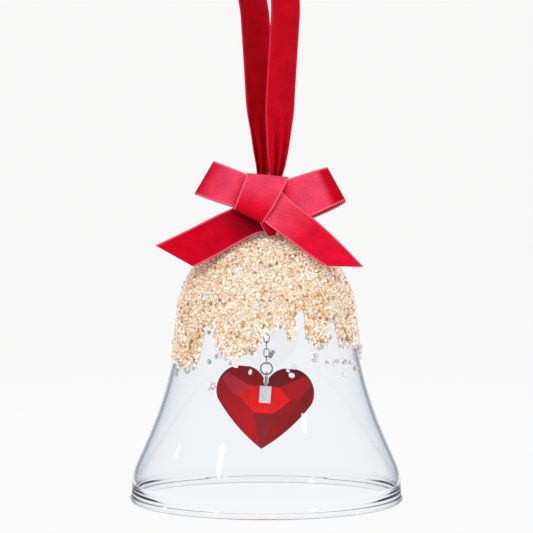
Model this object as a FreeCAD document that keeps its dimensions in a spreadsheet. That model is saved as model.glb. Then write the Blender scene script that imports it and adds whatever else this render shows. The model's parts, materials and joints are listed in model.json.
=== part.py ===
# Hanging Christmas bell: a blown glass bell crusted with crystal chips, a faceted heart for a
# clapper on a fine link chain, and a satin ribbon with a flat bow.
# The origin is the hanging point, under the crown of the ribbon loop. +Z is up, the bow faces -Y.
import FreeCAD, Part
import math
import os
import Sketcher
from FreeCAD import Placement, Rotation, Vector

doc = FreeCAD.newDocument("christmas_bell")

# ---------------------------------------------------------------- driving dimensions, mm and degrees
sizes = doc.addObject("Spreadsheet::Sheet", "Sizes")
driving = [
    ("loop_height", 77.1),  # hanging point down to the top of the glass
    ("dome_radius", 23.5),
    ("waist_angle", 5.0),  # lean of the wall where the dome meets the flare
    ("flare_height", 34.4),
    ("flare_angle", 24.0),  # lean of the wall at the foot of the flare
    ("skirt_height", 6.5),
    ("lip_turn_height", 5.0),
    ("lip_angle", 3.0),
    ("lip_height", 4.5),
    ("glass_wall", 1.0),
    ("bead_radius", 0.85),  # the fire-polished rim
    ("crown_hole_radius", 1.7),
    ("crust_thickness", 1.1),
    ("crust_bed", 0.02),  # glue line between glass and crystals
    ("crust_hole_radius", 5.2),
    ("crust_depth", 33.9),  # crown down to the lowest drip
    ("drip_round", 1.4),
    ("chip_size", 1.1),
    ("gasket_rise", 0.3),
    ("gasket_radius", 3.6),
    ("inner_gasket_radius", 3.2),
    ("inner_gasket_drop", 0.7),
    ("inner_washer_radius", 2.8),
    ("inner_washer_thickness", 0.5),
    ("cap_radius", 4.2),
    ("cap_thickness", 1.0),
    ("cap_edge", 0.4),
    ("shank_radius", 1.0),
    ("bore_gap", 0.1),  # all round the shank, in the washers and gaskets
    ("collar_radius", 1.9),
    ("collar_height", 0.6),
    ("eye_outer_radius", 1.7),
    ("hardware_wire", 0.7),
    ("shank_below_washer", 1.4),
    ("nut_radius", 1.7),
    ("nut_height", 1.8),
    ("chain_eye_outer_radius", 1.45),
    ("eye_sink", 0.25),  # how far an eye is let into what carries it
    ("hanger_ring_outer_radius", 2.7),
    ("ring_play", 0.05),
    ("link_width", 1.7),
    ("link_length", 2.65),
    ("link_wire", 0.32),
    ("link_play", 0.03),
    ("heart_ring_outer_radius", 1.8),
    ("heart_ring_wire", 0.45),
    ("heart_width", 26.5),
    ("heart_height", 22.5),
    ("heart_thickness", 6.2),
    ("heart_girdle", 1.0),
    ("heart_lobe_radius", 6.85),
    ("heart_shoulder_angle", 22.0),
    ("heart_side_bulge", 0.9),
    ("heart_bevel_share", 0.86),
    ("heart_table_drop", 4.1),  # cleft down to the table's middle
    ("heart_drop", 2.0),  # bail eye down to the heart's cleft
    ("heart_lean", 4.0),
    ("cleft_notch", 0.7),  # below the cleft, to seat the bail's neck
    ("bail_eye_radius", 0.75),
    ("bail_wire", 0.5),
    ("bail_neck_width", 0.8),
    ("bail_sheet", 0.4),
    ("bail_plate_width", 3.1),
    ("bail_plate_height", 4.6),
    ("bail_gap", 0.25),  # between the plates and the heart's two flats
    ("bail_roof_flat", 1.3),
    ("bail_roof_drop", 2.3),
    ("pin_radius", 0.5),
    ("pin_bore_gap", 0.05),
    ("pin_head_radius", 0.9),
    ("pin_head_height", 0.3),
    ("pin_from_plate_foot", 1.6),
    ("ribbon_width", 10.0),
    ("ribbon_thickness", 0.3),
    ("gather_width", 1.6),
    ("gather_height", 20.0),
    ("ring_to_ribbon_gap", 0.25),
    ("arch_radius", 7.4),
    ("loop_turn", 40.0),  # the loop's plane, turned about Z from the XZ plane
    ("strand_lean", 1.0),
    ("bow_stand_off", 3.5),  # ring axis forward to the bow's back, at its top line
    ("bow_rise", 7.2),  # ring's top wire up to that line
    ("bow_tilt", 24.0),  # the bow's plane leans forward over the dome
    ("bow_layer", 1.8),
    ("knot_thickness", 3.0),
    ("tail_thickness", 0.5),
    ("layer_gap", 0.15),
    ("stitch_radius", 0.2),
]
for row, (alias, value) in enumerate(driving, start=1):
    sizes.set(f"A{row}", alias)
    sizes.set(f"B{row}", str(value))
    sizes.setAlias(f"B{row}", alias)
doc.recompute()

# ---------------------------------------------------------------- levels worked out from them
levels = doc.addObject("Spreadsheet::Sheet", "Levels")
worked = [
    ("crown", "-Sizes.loop_height"),
    ("dome_centre", "crown - Sizes.dome_radius"),
    ("waist", "dome_centre + Sizes.dome_radius * sin(Sizes.waist_angle * 1 deg)"),
    ("flare_foot", "waist - Sizes.flare_height"),
    ("skirt_foot", "flare_foot - Sizes.skirt_height"),
    ("lip_foot", "skirt_foot - Sizes.lip_turn_height"),
    ("rim", "lip_foot - Sizes.lip_height"),
    ("gasket_top", "crown + Sizes.gasket_rise"),
    ("cap_top", "gasket_top + Sizes.cap_thickness"),
    ("collar_top", "cap_top + Sizes.collar_height"),
    ("hanger_eye", "collar_top + Sizes.eye_outer_radius - Sizes.eye_sink"),
    ("eye_top_wire", "hanger_eye + Sizes.eye_outer_radius - Sizes.hardware_wire / 2"),
    ("hanger_ring", "eye_top_wire - Sizes.hardware_wire - Sizes.ring_play"
                    " + Sizes.hanger_ring_outer_radius - Sizes.hardware_wire / 2"),
    ("ring_top_wire", "hanger_ring + Sizes.hanger_ring_outer_radius - Sizes.hardware_wire / 2"),
    ("gasket_foot", "crown - Sizes.glass_wall - Sizes.inner_gasket_drop"),
    ("washer_foot", "gasket_foot - Sizes.inner_washer_thickness"),
    ("nut_foot", "washer_foot - Sizes.nut_height"),
    ("chain_eye", "nut_foot - Sizes.chain_eye_outer_radius + Sizes.eye_sink"),
    ("chain_eye_wire", "chain_eye - Sizes.chain_eye_outer_radius + Sizes.hardware_wire / 2"),
    ("first_link_wire", "chain_eye_wire + Sizes.hardware_wire / 2 + Sizes.link_wire / 2 + Sizes.link_play"),
    ("first_link", "first_link_wire - Sizes.link_length / 2 + Sizes.link_wire / 2"),
    ("link_pitch", "Sizes.link_length - 2 * Sizes.link_wire - Sizes.link_play"),
    ("crust_foot", "crown - Sizes.crust_depth"),
]
for row, (alias, formula) in enumerate(worked, start=1):
    levels.set(f"A{row}", alias)
    levels.set(f"B{row}", "=" + formula)
    levels.setAlias(f"B{row}", alias)
    doc.recompute()

link_count = 15


def size(alias):
    return float(sizes.get(alias))


def level(alias):
    return float(levels.get(alias))


def add(kind, name, place=None, **expressions):
    """A primitive whose sizes and place are bound to the sheets."""
    piece = doc.addObject(kind, name)
    if place is not None:
        piece.Placement = place
    for prop, formula in expressions.items():
        piece.setExpression(prop.replace("__", ".Base."), formula)
    return piece


def fuse(name, pieces, place=None):
    whole = doc.addObject("Part::MultiFuse", name)
    whole.Shapes = pieces
    if place is not None:
        whole.Placement = place
    return whole


def cut(name, base, tool):
    left = doc.addObject("Part::Cut", name)
    left.Base = base
    left.Tool = tool
    return left


def common(name, first, second):
    shared = doc.addObject("Part::MultiCommon", name)
    shared.Shapes = [first, second]
    return shared


def sketch_on(body, role, name):
    sketch = body.newObject("Sketcher::SketchObject", name)
    plane = [item for item in body.Origin.OriginFeatures if item.Role == role][0]
    sketch.AttachmentSupport = (plane, [""])
    sketch.MapMode = "FlatFace"
    return sketch


def bind(sketch, kind, *where, formula, start):
    """A sketch dimension that follows a sheet formula."""
    index = sketch.addConstraint(Sketcher.Constraint(kind, *where, start))
    sketch.setExpression(f"Constraints[{index}]", formula)


def closed_polygon(sketch, points):
    count = len(points)
    corners = [Vector(across, up, 0) for across, up in points]
    for index in range(count):
        sketch.addGeometry(Part.LineSegment(corners[index], corners[(index + 1) % count]))
    for index in range(count):
        sketch.addConstraint(Sketcher.Constraint("Coincident", index, 2, (index + 1) % count, 1))


def revolve(body, sketch, name):
    turned = body.newObject("PartDesign::Revolution", name)
    turned.Profile = sketch
    turned.ReferenceAxis = (sketch, ["V_Axis"])
    turned.Angle = 360
    return turned


def polar(radius, degrees):
    return Vector(radius * math.cos(math.radians(degrees)), radius * math.sin(math.radians(degrees)), 0)


# upright planes: a torus or a link drawn flat is stood up facing -Y, or edge-on to it
facing = Rotation(Vector(1, 0, 0), 90)
edge_on = Rotation(Vector(0, 0, 1), 90).multiply(facing)
along_y = Rotation(Vector(1, 0, 0), 90)


# ---------------------------------------------------------------- the wall of the glass, as arcs
waist_angle = size("waist_angle")
flare_angle = size("flare_angle")
lip_angle = size("lip_angle")
dome_middle = Vector(0, level("dome_centre"), 0)
flare_radius = size("flare_height") / (
    math.sin(math.radians(flare_angle)) - math.sin(math.radians(waist_angle)))
lip_radius = size("lip_turn_height") / (
    math.sin(math.radians(flare_angle)) - math.sin(math.radians(lip_angle)))
flare_radius_formula = ("Sizes.flare_height / (sin(Sizes.flare_angle * 1 deg)"
                        " - sin(Sizes.waist_angle * 1 deg))")
lip_radius_formula = ("Sizes.lip_turn_height / (sin(Sizes.flare_angle * 1 deg)"
                      " - sin(Sizes.lip_angle * 1 deg))")
waist_point = dome_middle + polar(size("dome_radius"), waist_angle)
flare_middle = waist_point + polar(flare_radius, waist_angle)
flare_foot_point = flare_middle - polar(flare_radius, flare_angle)
skirt_foot_point = flare_foot_point + Vector(
    size("skirt_height") * math.tan(math.radians(flare_angle)), -size("skirt_height"), 0)
lip_middle = skirt_foot_point - polar(lip_radius, flare_angle)
lip_foot_point = lip_middle + polar(lip_radius, lip_angle)
rim_point = lip_foot_point + Vector(
    size("lip_height") * math.tan(math.radians(lip_angle)), -size("lip_height"), 0)
bead_middle = rim_point - polar(size("glass_wall") / 2, lip_angle)


def arc(middle, radius, start_degrees, end_degrees):
    """A counter-clockwise arc in the sketch's plane."""
    circle = Part.Circle(middle, Vector(0, 0, 1), radius)
    return Part.ArcOfCircle(circle, math.radians(start_degrees), math.radians(end_degrees))


def dome_angle(radius, across):
    return math.degrees(math.acos(across / radius))


def glass_wall_sketch(body):
    """The wall's section: the outside as three tangent arcs and two runs, the inside the same,
    one wall nearer the axis."""
    sketch = sketch_on(body, "XZ_Plane", "wall_section")
    hole = size("crown_hole_radius")
    chain = []
    for inward in (0.0, size("glass_wall")):
        dome = size("dome_radius") - inward
        flare = flare_radius + inward
        lip = lip_radius - inward
        skirt_in = polar(inward, flare_angle)
        lip_in = polar(inward, lip_angle)
        chain.append([
            arc(dome_middle, dome, waist_angle, dome_angle(dome, hole)),
            arc(flare_middle, flare, 180 + waist_angle, 180 + flare_angle),
            Part.LineSegment(flare_foot_point - skirt_in, skirt_foot_point - skirt_in),
            arc(lip_middle, lip, lip_angle, flare_angle),
            Part.LineSegment(lip_foot_point - lip_in, rim_point - lip_in),
        ])
    edges = chain[0] + chain[1]
    edges.append(Part.LineSegment(chain[0][0].EndPoint, chain[1][0].EndPoint))
    edges.append(Part.LineSegment(chain[0][4].EndPoint, chain[1][4].EndPoint))
    sketch.addGeometry(edges)
    for first in (0, 5):
        joins = [(first, 1, first + 1, 1), (first + 1, 2, first + 2, 1),
                 (first + 2, 2, first + 3, 2), (first + 3, 1, first + 4, 1)]
        for join in joins:
            sketch.addConstraint(Sketcher.Constraint("Coincident", *join))
    for join in ((10, 1, 0, 2), (10, 2, 5, 2), (11, 1, 4, 2), (11, 2, 9, 2)):
        sketch.addConstraint(Sketcher.Constraint("Coincident", *join))
    sketch.addConstraint(Sketcher.Constraint("PointOnObject", 0, 3, -2))
    for outer, inner in ((0, 5), (1, 6), (3, 8)):
        sketch.addConstraint(Sketcher.Constraint("Coincident", inner, 3, outer, 3))
    bind(sketch, "DistanceY", -1, 1, 0, 3, formula="Levels.dome_centre", start=level("dome_centre"))
    bind(sketch, "Radius", 0, formula="Sizes.dome_radius", start=size("dome_radius"))
    bind(sketch, "Radius", 5, formula="Sizes.dome_radius - Sizes.glass_wall",
         start=size("dome_radius") - size("glass_wall"))
    bind(sketch, "Radius", 1, formula=flare_radius_formula, start=flare_radius)
    bind(sketch, "Radius", 3, formula=lip_radius_formula, start=lip_radius)
    bind(sketch, "Radius", 8, formula=lip_radius_formula + " - Sizes.glass_wall",
         start=lip_radius - size("glass_wall"))
    bind(sketch, "DistanceX", -1, 1, 10, 1, formula="Sizes.crown_hole_radius", start=hole)
    sketch.addConstraint(Sketcher.Constraint("Vertical", 10))
    return sketch


def make_glass_bell():
    body = doc.addObject("PartDesign::Body", "glass_bell")
    revolve(body, glass_wall_sketch(body), "wall")
    doc.recompute()
    bead_sketch = sketch_on(body, "XZ_Plane", "bead_section")
    bead_sketch.addGeometry(Part.Circle(bead_middle, Vector(0, 0, 1), size("bead_radius")))
    bind(bead_sketch, "Radius", 0, formula="Sizes.bead_radius", start=size("bead_radius"))
    bind(bead_sketch, "DistanceX", -1, 1, 0, 3, formula=str(bead_middle.x), start=bead_middle.x)
    bind(bead_sketch, "DistanceY", 0, 3, -1, 1, formula=str(-bead_middle.y), start=-bead_middle.y)
    bead = revolve(body, bead_sketch, "rim_bead")
    doc.recompute()
    body.Tip = bead
    return body


def shell_section(body, name, inner_skin, outer_skin, top_across, foot):
    """A skin outside the glass, between two offsets, from a hole at the crown down to a level
    on the flare."""
    sketch = sketch_on(body, "XZ_Plane", name)
    runs = []
    for offset in (inner_skin, outer_skin):
        dome = size("dome_radius") + offset
        flare = flare_radius - offset
        foot_angle = math.degrees(math.asin((flare_middle.y - foot) / flare))
        runs.append([
            arc(dome_middle, dome, waist_angle, dome_angle(dome, top_across)),
            arc(flare_middle, flare, 180 + waist_angle, 180 + foot_angle),
        ])
    edges = runs[0] + runs[1]
    edges.append(Part.LineSegment(runs[0][0].EndPoint, runs[1][0].EndPoint))
    edges.append(Part.LineSegment(runs[0][1].EndPoint, runs[1][1].EndPoint))
    sketch.addGeometry(edges)
    for join in ((0, 1, 1, 1), (2, 1, 3, 1), (4, 1, 0, 2), (4, 2, 2, 2), (5, 1, 1, 2), (5, 2, 3, 2)):
        sketch.addConstraint(Sketcher.Constraint("Coincident", *join))
    sketch.addConstraint(Sketcher.Constraint("PointOnObject", 0, 3, -2))
    sketch.addConstraint(Sketcher.Constraint("Coincident", 2, 3, 0, 3))
    sketch.addConstraint(Sketcher.Constraint("Coincident", 3, 3, 1, 3))
    bind(sketch, "DistanceY", -1, 1, 0, 3, formula="Levels.dome_centre", start=level("dome_centre"))
    bind(sketch, "Radius", 0, formula="Sizes.dome_radius + Sizes.crust_bed",
         start=size("dome_radius") + size("crust_bed"))
    bind(sketch, "Radius", 2, formula="Sizes.dome_radius + Sizes.crust_bed + Sizes.crust_thickness",
         start=size("dome_radius") + size("crust_bed") + size("crust_thickness"))
    return sketch


# gaps between the drips of the crust's lower edge: bearing from the front, width, height
crust_gaps = [
    (-58, 2.6, 6.5), (-37, 3.2, 7.5), (6, 8.0, 6.5), (22, 2.6, 10.5), (47, 2.8, 8.5),
    (72, 5.5, 6.0), (96, 3.0, 9.5), (121, 7.0, 6.0), (147, 3.0, 8.0), (171, 4.5, 9.0),
    (196, 3.0, 6.0), (222, 6.5, 8.5), (247, 3.0, 7.0), (272, 5.0, 5.5),
]


def make_crust():
    body = doc.addObject("PartDesign::Body", "crust_skin")
    sketch = shell_section(body, "crust_section", size("crust_bed"),
                           size("crust_bed") + size("crust_thickness"),
                           size("crust_hole_radius"), level("crust_foot"))
    revolve(body, sketch, "crust_turn")
    tools = []
    inside = size("dome_radius") - 3 * size("glass_wall")
    reach = size("dome_radius") / 2
    for index, (bearing, width, height) in enumerate(crust_gaps):
        turn = Rotation(Vector(0, 0, 1), bearing - 90)
        side = turn.multVec(
            Vector(inside, -width / 2, level("crust_foot") - size("crust_thickness")))
        slot = add("Part::Box", f"gap_slot_{index}", Placement(side, turn))
        slot.Length = reach
        slot.Width = width
        slot.Height = height - width / 2 + size("crust_thickness")
        top = turn.multVec(Vector(inside, 0, level("crust_foot") + height - width / 2))
        lay = turn.multiply(Rotation(Vector(0, 1, 0), 90))
        end = add("Part::Cylinder", f"gap_end_{index}", Placement(top, lay))
        end.Radius = width / 2
        end.Height = reach
        tools += [slot, end]
    return cut("crystal_crust", body, fuse("crust_gap_tools", tools))


# loose crystals below the crust: bearing from the front, depth under the crown
loose_chips = [
    (-78, 36.0), (-74, 37.8), (-52, 36.6), (-37, 39.2), (-33, 39.6), (-26, 35.2), (-22, 35.5),
    (-12, 35.8), (16, 35.0), (14, 36.6), (17, 37.6), (29, 35.1), (33, 36.2), (52, 35.3), (56, 36.4),
    (62, 37.0), (80, 35.4), (97, 35.2), (118, 36.2), (123, 37.0), (140, 35.2), (160, 35.6),
    (176, 36.6), (198, 35.6), (215, 37.6), (231, 36.0), (250, 38.0), (262, 35.4),
]


def glass_outside(drop):
    """Radius of the glass and lean of its wall on the flare, at a depth under the crown."""
    lean = math.asin((flare_middle.y - level("crown") + drop) / flare_radius)
    return flare_middle.x - flare_radius * math.cos(lean), math.degrees(lean)


def make_scattered_crystals():
    chips = []
    for index, (bearing, drop) in enumerate(loose_chips):
        radius, lean = glass_outside(drop)
        turn = Rotation(Vector(0, 0, 1), bearing - 90)
        out = turn.multiply(Rotation(Vector(0, 1, 0), 90 - lean))
        outward = out.multVec(Vector(0, 0, 1))
        seat = turn.multVec(Vector(radius, 0, level("crown") - drop)) + outward * size("crust_bed") * 3
        seat = seat - out.multVec(Vector(size("chip_size") / 2, size("chip_size") / 2, 0))
        chips.append(add("Part::Box", f"chip_{index}", Placement(seat, out),
                         Length="Sizes.chip_size", Width="Sizes.chip_size", Height="Sizes.chip_size"))
    group = doc.addObject("Part::Compound", "scattered_crystals")
    group.Links = chips
    return group


# ---------------------------------------------------------------- crown hardware
def round_bar(name, radius, foot, height):
    return add("Part::Cylinder", name, Radius=radius, Height=height, Placement__z=foot)


def make_outer_gasket():
    """A soft washer whose underside is the dome itself, with a sleeve down the glass's hole."""
    disc = round_bar("gasket_disc", "Sizes.gasket_radius", "Levels.crown - Sizes.glass_wall",
                     "Sizes.glass_wall + Sizes.gasket_rise")
    dome = add("Part::Sphere", "gasket_seat", Radius="Sizes.dome_radius",
               Placement__z="Levels.dome_centre")
    sleeve = round_bar("gasket_sleeve", "Sizes.crown_hole_radius - Sizes.bore_gap",
                       "Levels.crown - Sizes.glass_wall", "Sizes.glass_wall")
    bore = round_bar("gasket_bore", "Sizes.shank_radius + Sizes.bore_gap",
                     "Levels.crown - 3 * Sizes.glass_wall", "6 * Sizes.glass_wall")
    return cut("outer_gasket", fuse("gasket_blank", [cut("gasket_cap", disc, dome), sleeve]), bore)


def make_inner_gasket():
    disc = round_bar("inner_gasket_disc", "Sizes.inner_gasket_radius", "Levels.gasket_foot",
                     "Sizes.inner_gasket_drop")
    dome = add("Part::Sphere", "inner_gasket_seat", Radius="Sizes.dome_radius - Sizes.glass_wall",
               Placement__z="Levels.dome_centre")
    bore = round_bar("inner_gasket_bore", "Sizes.shank_radius + Sizes.bore_gap",
                     "Levels.gasket_foot - Sizes.glass_wall", "6 * Sizes.glass_wall")
    return cut("inner_gasket", common("inner_gasket_blank", disc, dome), bore)


def make_inner_washer():
    disc = round_bar("inner_washer_disc", "Sizes.inner_washer_radius", "Levels.washer_foot",
                     "Sizes.inner_washer_thickness")
    bore = round_bar("inner_washer_bore", "Sizes.shank_radius + Sizes.bore_gap",
                     "Levels.washer_foot - Sizes.glass_wall", "4 * Sizes.glass_wall")
    return cut("inner_washer", disc, bore)


def make_crown_cap():
    """A turned, domed washer: flat foot, square edge, and a cone of shallow slope."""
    body = doc.addObject("PartDesign::Body", "crown_cap")
    sketch = sketch_on(body, "XZ_Plane", "cap_section")
    bore = size("shank_radius") + size("bore_gap")
    foot = level("gasket_top")
    closed_polygon(sketch, [
        (bore, foot), (size("cap_radius"), foot), (size("cap_radius"), foot + size("cap_edge")),
        (size("collar_radius"), level("cap_top")), (bore, level("cap_top"))])
    for edge in (0, 3):
        sketch.addConstraint(Sketcher.Constraint("Horizontal", edge))
    for edge in (1, 4):
        sketch.addConstraint(Sketcher.Constraint("Vertical", edge))
    bind(sketch, "DistanceX", -1, 1, 0, 1, formula="Sizes.shank_radius + Sizes.bore_gap", start=bore)
    bind(sketch, "DistanceX", -1, 1, 1, 1, formula="Sizes.cap_radius", start=size("cap_radius"))
    bind(sketch, "DistanceX", -1, 1, 3, 1, formula="Sizes.collar_radius", start=size("collar_radius"))
    bind(sketch, "DistanceY", 0, 1, -1, 1, formula="-Levels.gasket_top", start=-foot)
    bind(sketch, "DistanceY", 1, 1, 1, 2, formula="Sizes.cap_edge", start=size("cap_edge"))
    bind(sketch, "DistanceY", 4, 2, 4, 1, formula="Sizes.cap_thickness", start=size("cap_thickness"))
    revolve(body, sketch, "cap_turn")
    return body


def upright_ring(name, outer_radius, wire, centre, turn):
    return add("Part::Torus", name, Placement(Vector(0, 0, 0), turn),
               Radius1=f"{outer_radius} - {wire} / 2", Radius2=f"{wire} / 2", Placement__z=centre)


def make_hanger_eye():
    eye = upright_ring("eye_ring", "Sizes.eye_outer_radius", "Sizes.hardware_wire",
                       "Levels.hanger_eye", edge_on)
    collar = round_bar("eye_collar", "Sizes.collar_radius", "Levels.cap_top", "Sizes.collar_height")
    shank = round_bar("eye_shank", "Sizes.shank_radius",
                      "Levels.washer_foot - Sizes.shank_below_washer",
                      "Levels.cap_top - Levels.washer_foot + Sizes.shank_below_washer")
    return fuse("hanger_eye", [eye, collar, shank])


def make_chain_eye():
    nut = round_bar("nut_round", "Sizes.nut_radius", "Levels.nut_foot", "Sizes.nut_height")
    bore = round_bar("nut_bore", "Sizes.shank_radius", "Levels.washer_foot - Sizes.shank_below_washer",
                     "2 * Sizes.nut_height")
    eye = upright_ring("chain_eye_ring", "Sizes.chain_eye_outer_radius", "Sizes.hardware_wire",
                       "Levels.chain_eye", facing)
    return fuse("chain_eye", [cut("nut_bored", nut, bore), eye])


# ---------------------------------------------------------------- chain
def make_link(number):
    """An oval link: two half rings and two straight sides. Odd links stand edge-on to the front."""
    tag = f"chain_link_{number:02d}"
    pieces = []
    bend = "(Sizes.link_width - Sizes.link_wire) / 2"
    reach = "(Sizes.link_length - Sizes.link_width) / 2"
    for end, turn, sign in (("top", 90, ""), ("foot", -90, "-")):
        half = add("Part::Torus", f"{tag}_{end}", Placement(Vector(0, 0, 0), Rotation(Vector(1, 0, 0), turn)),
                   Radius1=bend, Radius2="Sizes.link_wire / 2", Placement__z=sign + reach)
        half.Angle3 = 180
        pieces.append(half)
    for side, sign in (("left", "-"), ("right", "")):
        pieces.append(add("Part::Cylinder", f"{tag}_{side}", Radius="Sizes.link_wire / 2",
                          Height="Sizes.link_length - Sizes.link_width",
                          Placement__x=sign + bend, Placement__z="-" + reach))
    turn = Rotation(Vector(0, 0, 1), 90 * (number % 2))
    link = fuse(tag, pieces, Placement(Vector(0, 0, 0), turn))
    link.setExpression("Placement.Base.z", f"Levels.first_link - {number - 1} * Levels.link_pitch")
    return link


last_link = level("first_link") - (link_count - 1) * level("link_pitch")
last_link_wire = last_link - size("link_length") / 2 + size("link_wire") / 2
heart_ring_mean = size("heart_ring_outer_radius") - size("heart_ring_wire") / 2
heart_ring_top = (last_link_wire + size("link_wire") / 2 + size("heart_ring_wire") / 2
                  + size("link_play"))
heart_ring_centre = heart_ring_top - heart_ring_mean
heart_ring_foot = heart_ring_centre - heart_ring_mean
heart_ring_formula = (f"Levels.first_link - {link_count - 1} * Levels.link_pitch"
                      " - Sizes.link_length / 2 + Sizes.link_wire + Sizes.heart_ring_wire"
                      " + Sizes.link_play - Sizes.heart_ring_outer_radius")
bail_eye_centre = (heart_ring_foot + size("heart_ring_wire") / 2 + size("bail_wire") / 2
                   + size("link_play") - size("bail_eye_radius"))
cleft = bail_eye_centre - size("heart_drop")
heart_place = Placement(
    Vector(0, 0, 0), Rotation(Vector(0, 1, 0), size("heart_lean")), Vector(0, 0, heart_ring_foot))


# ---------------------------------------------------------------- heart, bail and pin
flat = size("heart_thickness") / 2
table_level = cleft - size("heart_table_drop")
plate_inside = flat + size("bail_gap")
plate_outside = plate_inside + size("bail_sheet")
roof_top = bail_eye_centre - size("bail_eye_radius") + size("bail_wire")
plate_top = roof_top - size("bail_roof_drop")
plate_foot = plate_top - size("bail_plate_height")
pin_level = plate_foot + size("pin_from_plate_foot")


def heart_wire(share, depth):
    """The heart's outline in an upright plane, shrunk about the table's middle: two round lobes
    and two sides that bow out a little on their way to the point."""
    lobe = size("heart_lobe_radius")
    lobe_x = size("heart_width") / 2 - lobe
    lobe_z = cleft - math.sqrt(lobe ** 2 - lobe_x ** 2)
    turn = math.radians(size("heart_shoulder_angle"))

    def at(x, z):
        return Vector(x * share, depth, table_level + (z - table_level) * share)

    tip_z = lobe_z + lobe - size("heart_height")
    shoulder = (lobe_x + lobe * math.cos(turn), lobe_z - lobe * math.sin(turn))
    side_x, side_z = shoulder[0] / 2, (shoulder[1] + tip_z) / 2
    run = math.hypot(shoulder[0], shoulder[1] - tip_z)
    bulge = size("heart_side_bulge")
    middle = (side_x + bulge * (shoulder[1] - tip_z) / run, side_z - bulge * shoulder[0] / run)
    edges = []
    for side in (1, -1):
        lobe_arc = Part.Arc(at(0, cleft), at(side * lobe_x, lobe_z + lobe),
                            at(side * shoulder[0], shoulder[1]))
        side_arc = Part.Arc(at(side * shoulder[0], shoulder[1]), at(side * middle[0], middle[1]),
                            at(0, tip_z))
        edges += [lobe_arc.toShape(), side_arc.toShape()]
    return Part.Wire(Part.__sortEdges__(edges))


# facets round the table, the same on both faces: bearing of the facet in the heart's plane,
# distance of its upper edge from the table's middle, and its slope
heart_facets = [
    (270, 3.9, 12), (270, 8.4, 26), (-46, 4.7, 21), (226, 4.7, 21), (43, 4.9, 16), (137, 5.3, 16),
    (0, 8.0, 25), (180, 7.8, 25), (90, 3.3, 32), (68, 8.6, 34), (112, 8.6, 34),
]


def make_heart():
    """A cut stone: a straight girdle and a bevel all round the outline, then flat cuts from the
    bevel up to a flat table on each face."""
    half_girdle = size("heart_girdle") / 2
    rings = [(-flat, size("heart_bevel_share")), (-half_girdle, 1.0), (half_girdle, 1.0),
             (flat, size("heart_bevel_share"))]
    wires = [heart_wire(share, depth) for depth, share in rings]
    layers = [Part.makeLoft([wires[i], wires[i + 1]], True, True) for i in range(3)]
    blank = doc.addObject("Part::Feature", "heart_blank")
    blank.Shape = layers[0].fuse(layers[1:])
    cutters = []
    reach = 2 * size("heart_width")
    for side in (-1, 1):
        for index, (bearing, distance, slope) in enumerate(heart_facets):
            across = Vector(math.cos(math.radians(bearing)), 0, math.sin(math.radians(bearing)))
            edge = Vector(0, side * flat, table_level) + across * distance
            normal = Vector(0, side, 0) * math.cos(math.radians(slope))
            normal = normal + across * math.sin(math.radians(slope))
            turn = Rotation(Vector(0, 0, 1), normal)
            corner = edge - turn.multVec(Vector(reach / 2, reach / 2, 0))
            box = add("Part::Box", f"facet_{'front' if side < 0 else 'back'}_{index}",
                      Placement(corner, turn))
            box.Length = reach
            box.Width = reach
            box.Height = size("heart_thickness")
            cutters.append(box)
    notch = add("Part::Box", "cleft_notch",
                Placement(Vector(-size("bail_neck_width") / 2 - size("bail_gap"), -flat,
                                 cleft - size("cleft_notch")), Rotation()),
                Length="Sizes.bail_neck_width + 2 * Sizes.bail_gap", Width="Sizes.heart_thickness",
                Height="Sizes.heart_lobe_radius")
    cutters.append(notch)
    cutters.append(add("Part::Cylinder", "heart_drill",
                       Placement(Vector(0, 2 * flat, pin_level), along_y),
                       Radius="Sizes.pin_radius + Sizes.pin_bore_gap",
                       Height="2 * Sizes.heart_thickness"))
    stone = blank
    for index, tool in enumerate(cutters):
        name = "heart_crystal" if tool is cutters[-1] else f"heart_cut_{index}"
        stone = cut(name, stone, tool)
    stone.Placement = heart_place
    return stone


def make_bail():
    """A folded strip: an eye on the ring, a narrow neck through the cleft, a plate on each flat."""
    neck = doc.addObject("PartDesign::Body", "bail_neck")
    sketch = sketch_on(neck, "YZ_Plane", "neck_section")
    flat_half = size("bail_roof_flat") / 2
    sheet = size("bail_sheet")
    closed_polygon(sketch, [
        (-plate_outside, plate_top - sheet), (-plate_outside, plate_top), (-flat_half, roof_top),
        (flat_half, roof_top), (plate_outside, plate_top), (plate_outside, plate_top - sheet),
        (plate_inside, plate_top - sheet), (flat_half, roof_top - sheet),
        (-flat_half, roof_top - sheet), (-plate_inside, plate_top - sheet)])
    pad = neck.newObject("PartDesign::Pad", "neck_pad")
    pad.Profile = sketch
    pad.Midplane = True
    pad.setExpression("Length", "Sizes.bail_neck_width")
    pieces = [neck]
    for name, back in (("front", -plate_outside), ("back", plate_inside)):
        plate = add("Part::Box", f"bail_plate_{name}",
                    Placement(Vector(-size("bail_plate_width") / 2, back, plate_foot), Rotation()),
                    Length="Sizes.bail_plate_width", Width="Sizes.bail_sheet",
                    Height="Sizes.bail_plate_height")
        pieces.append(plate)
    eye = add("Part::Torus", "bail_eye", Placement(Vector(0, 0, bail_eye_centre), edge_on),
              Radius1="Sizes.bail_eye_radius", Radius2="Sizes.bail_wire / 2")
    pieces.append(eye)
    drill = add("Part::Cylinder", "bail_drill",
                Placement(Vector(0, 2 * plate_outside, pin_level), along_y),
                Radius="Sizes.pin_radius", Height="2 * Sizes.heart_thickness")
    drill.Height = 4 * plate_outside
    bail = cut("heart_bail", fuse("bail_blank", pieces), drill)
    bail.Placement = heart_place
    return bail


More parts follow.
